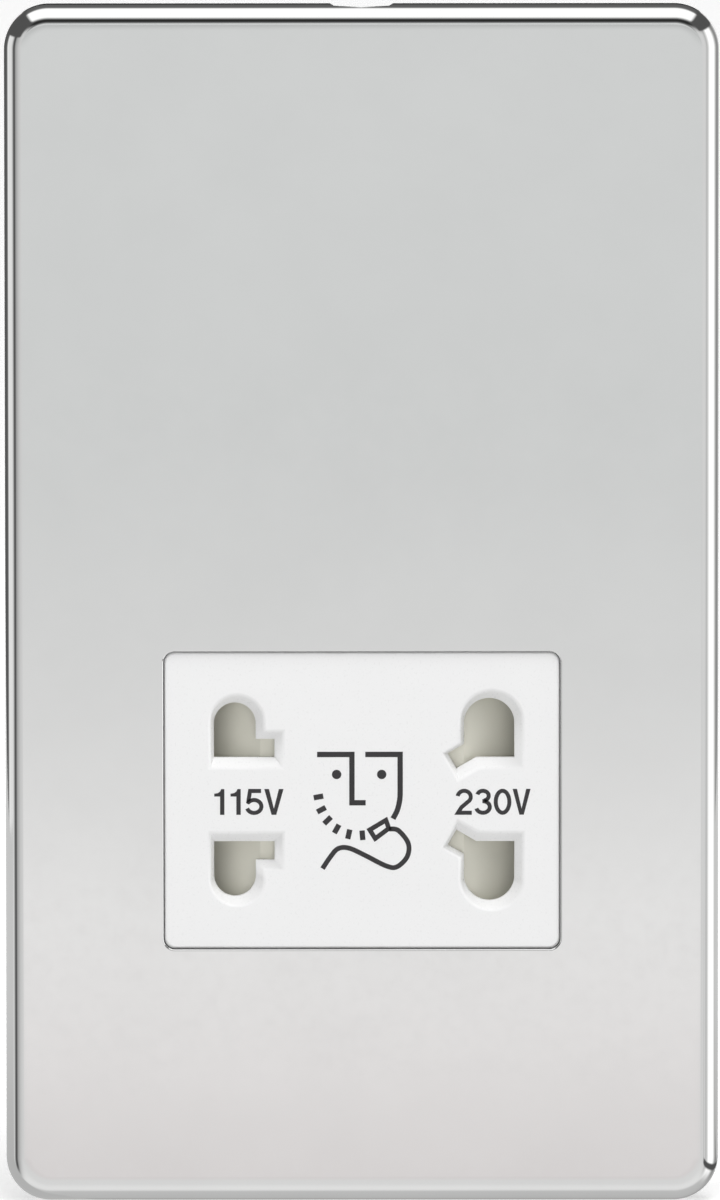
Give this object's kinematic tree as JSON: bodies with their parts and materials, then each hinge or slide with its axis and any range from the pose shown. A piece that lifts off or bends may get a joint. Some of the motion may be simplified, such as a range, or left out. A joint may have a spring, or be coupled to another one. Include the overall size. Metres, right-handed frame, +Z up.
{
  "type": "shaver socket",
  "caption": "Wall-mounted dual-voltage shaver socket: chrome plate, white socket front with shuttered pin apertures, and an isolating transformer in a rear housing.",
  "frame": {"origin": "middle of the front plate, in the wall surface", "axes": "+X to the right seen from the front, +Y into the wall, +Z up"},
  "size_m": [0.088, 0.045, 0.148],
  "materials": {
    "chrome_plate": "polished chrome plating",
    "black_plastic": "fine moulded grain",
    "zinc_steel": "bright zinc plating",
    "white_plastic": "smooth moulded gloss",
    "shutter_plastic": "plain moulded",
    "spring_steel": "drawn wire",
    "plunger_plastic": "plain moulded",
    "tinned_brass": "tin plating",
    "base_plastic": "plain moulded",
    "contact_bronze": "bright strip",
    "core_steel": "oiled laminations",
    "bobbin_plastic": "plain moulded",
    "copper_winding": "enamelled wire under clear tape",
    "cutout_case": "pressed case",
    "housing_plastic": "fine moulded grain",
    "terminal_plastic": "plain moulded",
    "brass": "machined"
  },
  "bodies": {
    "socket": {"front_plate": "chrome_plate", "clip_frame": "black_plastic", "mounting_frame": "zinc_steel", "socket_front": "white_plastic", "shutter_spring_115": "spring_steel", "shutter_spring_230": "spring_steel", "switch_body_115": "black_plastic", "switch_body_230": "black_plastic", "switch_tags": "tinned_brass", "socket_base": "base_plastic", "base_screws": "zinc_steel", "contact_115_upper": "contact_bronze", "contact_115_lower": "contact_bronze", "contact_230_upper": "contact_bronze", "contact_230_lower": "contact_bronze", "core_e_stack": "core_steel", "core_i_stack": "core_steel", "winding_bobbin": "bobbin_plastic", "primary_winding": "copper_winding", "secondary_winding": "copper_winding", "transformer_tags": "tinned_brass", "core_screws": "zinc_steel", "thermal_cutout": "cutout_case", "rear_housing": "housing_plastic", "housing_screws": "zinc_steel", "terminal_block": "terminal_plastic", "block_screws": "zinc_steel", "terminal_pillars": "brass", "terminal_screws": "zinc_steel", "earth_strap": "tinned_brass", "earth_rivet": "tinned_brass"},
    "shutter_115": {"shutter_115": "shutter_plastic"},
    "shutter_230": {"shutter_230": "shutter_plastic"},
    "plunger_115": {"switch_plunger_115": "plunger_plastic"},
    "plunger_230": {"switch_plunger_230": "plunger_plastic"}
  },
  "joints": [
    {"name": "shutter_115_slide", "type": "slide", "parent": "socket", "child": "shutter_115", "axis": [1, 0, 0], "range_m": [0, 0.00898], "stiffness_N_per_m": 90, "springref_m": -0.0045, "deforming": ["shutter_spring_115"]},
    {"name": "shutter_230_slide", "type": "slide", "parent": "socket", "child": "shutter_230", "axis": [-1, 0, 0], "range_m": [0, 0.00898], "stiffness_N_per_m": 90, "springref_m": -0.0045, "deforming": ["shutter_spring_230"]},
    {"name": "plunger_115_slide", "type": "slide", "parent": "socket", "child": "plunger_115", "axis": [0, 1, 0], "range_m": [0, 0.0012]},
    {"name": "plunger_230_slide", "type": "slide", "parent": "socket", "child": "plunger_230", "axis": [0, 1, 0], "range_m": [0, 0.0012]}
  ],
  "couplings": [
    {"joint": "plunger_115_slide", "follows": "shutter_115_slide", "ratio": 0.1337},
    {"joint": "plunger_230_slide", "follows": "shutter_230_slide", "ratio": 0.1337}
  ]
}
